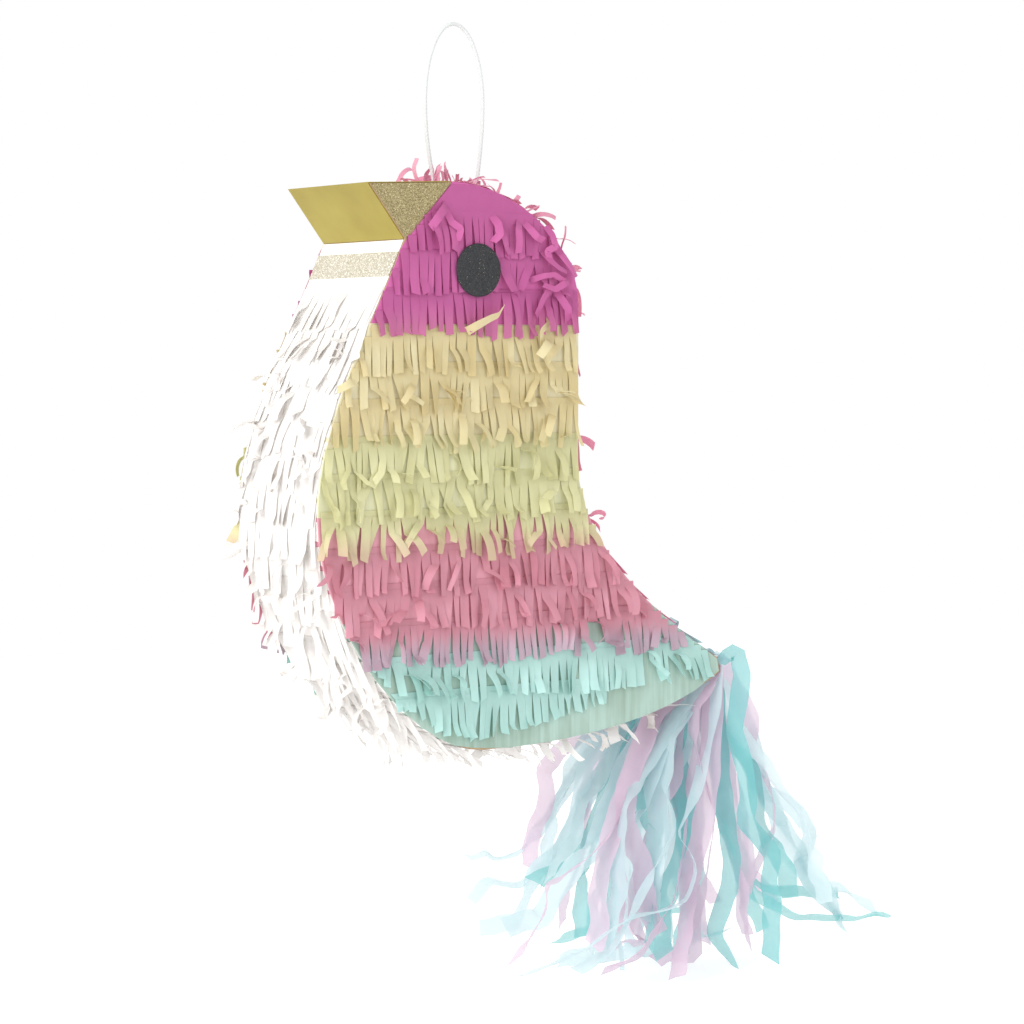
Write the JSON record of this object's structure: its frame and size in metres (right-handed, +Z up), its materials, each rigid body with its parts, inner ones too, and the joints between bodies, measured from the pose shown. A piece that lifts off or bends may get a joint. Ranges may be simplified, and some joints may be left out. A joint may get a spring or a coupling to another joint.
{
  "type": "pinata",
  "caption": "Bird-shaped hanging pinata: cardboard shell in rows of tissue fringe, cord loop, fill flap in the back and swinging tail streamers.",
  "frame": {"origin": "seat of the hanging loop: the underside of the cord at the loop's apex, where a hook carries the pinata", "axes": "+Z up, -X towards the beak, +Y towards the bird's right side; the symmetry plane of the shell is y = 0"},
  "size_m": [0.5356, 0.1613, 0.6709],
  "materials": {
    "cardboard": "plain brown corrugated board",
    "magenta_tissue": "matt tissue",
    "cream_tissue": "matt tissue",
    "lime_tissue": "matt tissue",
    "pink_tissue": "matt tissue",
    "mint_tissue": "matt tissue",
    "white_tissue": "matt tissue",
    "rose_tissue": "matt tissue",
    "teal_tissue": "matt tissue",
    "pale_blue_tissue": "matt tissue",
    "lilac_tissue": "matt tissue",
    "gold_paper": "metallic sheen",
    "gold_glitter": "fine glitter",
    "pale_glitter": "fine glitter",
    "black_glitter_foam": "fine glitter on foam",
    "white_cord": "braided"
  },
  "bodies": {
    "shell": {"left_side_panel": "cardboard", "right_side_panel": "cardboard", "beak_front_band": "cardboard", "crown_band": "cardboard", "back_band": "cardboard", "rump_band": "cardboard", "tail_end_band": "cardboard", "belly_band": "cardboard", "chest_band": "cardboard", "hanger_plate": "cardboard", "cord_knot": "white_cord", "left_eye": "black_glitter_foam", "right_eye": "black_glitter_foam", "left_beak_glitter": "gold_glitter", "right_beak_glitter": "gold_glitter", "beak_gold_sheet": "gold_paper", "throat_glitter_strip": "pale_glitter", "crown_fringe": "rose_tissue", "rump_fringe": "rose_tissue", "belly_fringe": "white_tissue", "chest_fringe": "white_tissue", "streamer_header": "teal_tissue", "left_fringe_row_01": "magenta_tissue", "left_fringe_row_02": "magenta_tissue", "left_fringe_row_03": "magenta_tissue", "left_fringe_row_04": "cream_tissue", "left_fringe_row_05": "cream_tissue", "left_fringe_row_06": "cream_tissue", "left_fringe_row_07": "lime_tissue", "left_fringe_row_08": "lime_tissue", "left_fringe_row_09": "lime_tissue", "left_fringe_row_10": "pink_tissue", "left_fringe_row_11": "pink_tissue", "left_fringe_row_12": "pink_tissue", "left_fringe_row_13": "mint_tissue", "left_fringe_row_14": "mint_tissue", "right_fringe_row_01": "magenta_tissue", "right_fringe_row_02": "magenta_tissue", "right_fringe_row_03": "magenta_tissue", "right_fringe_row_04": "cream_tissue", "right_fringe_row_05": "cream_tissue", "right_fringe_row_06": "cream_tissue", "right_fringe_row_07": "lime_tissue", "right_fringe_row_08": "lime_tissue", "right_fringe_row_09": "lime_tissue", "right_fringe_row_10": "pink_tissue", "right_fringe_row_11": "pink_tissue", "right_fringe_row_12": "pink_tissue", "right_fringe_row_13": "mint_tissue", "right_fringe_row_14": "mint_tissue"},
    "cord_loop": {"hanging_loop": "white_cord"},
    "flap": {"fill_flap": "cardboard", "flap_fringe": "rose_tissue"},
    "left_tassel": {"streamer_1": "teal_tissue", "streamer_2": "pale_blue_tissue"},
    "middle_tassel": {"streamer_3": "lilac_tissue", "streamer_4": "teal_tissue", "streamer_5": "pale_blue_tissue"},
    "right_tassel": {"streamer_6": "lilac_tissue", "streamer_7": "teal_tissue"}
  },
  "joints": [
    {"name": "loop_flop", "type": "hinge", "parent": "shell", "child": "cord_loop", "pos_m": [0, 0, -0.11466], "axis": [0.9487, 0, -0.3162], "range_deg": [-75, 75], "stiffness_Nm_per_rad": 0.01},
    {"name": "flap_fold", "type": "hinge", "parent": "shell", "child": "flap", "pos_m": [0.0685, 0, -0.272], "axis": [0, 1, 0], "range_deg": [0, 110], "stiffness_Nm_per_rad": 0.005},
    {"name": "left_tassel_swing", "type": "hinge", "parent": "shell", "child": "left_tassel", "pos_m": [0.203, -0.035, -0.453], "axis": [0, -1, 0], "range_deg": [-10, 25], "stiffness_Nm_per_rad": 0.02},
    {"name": "middle_tassel_swing", "type": "hinge", "parent": "shell", "child": "middle_tassel", "pos_m": [0.203, 0, -0.453], "axis": [0, -1, 0], "range_deg": [-10, 25], "stiffness_Nm_per_rad": 0.02},
    {"name": "right_tassel_swing", "type": "hinge", "parent": "shell", "child": "right_tassel", "pos_m": [0.203, 0.035, -0.453], "axis": [0, -1, 0], "range_deg": [-10, 25], "stiffness_Nm_per_rad": 0.02}
  ]
}
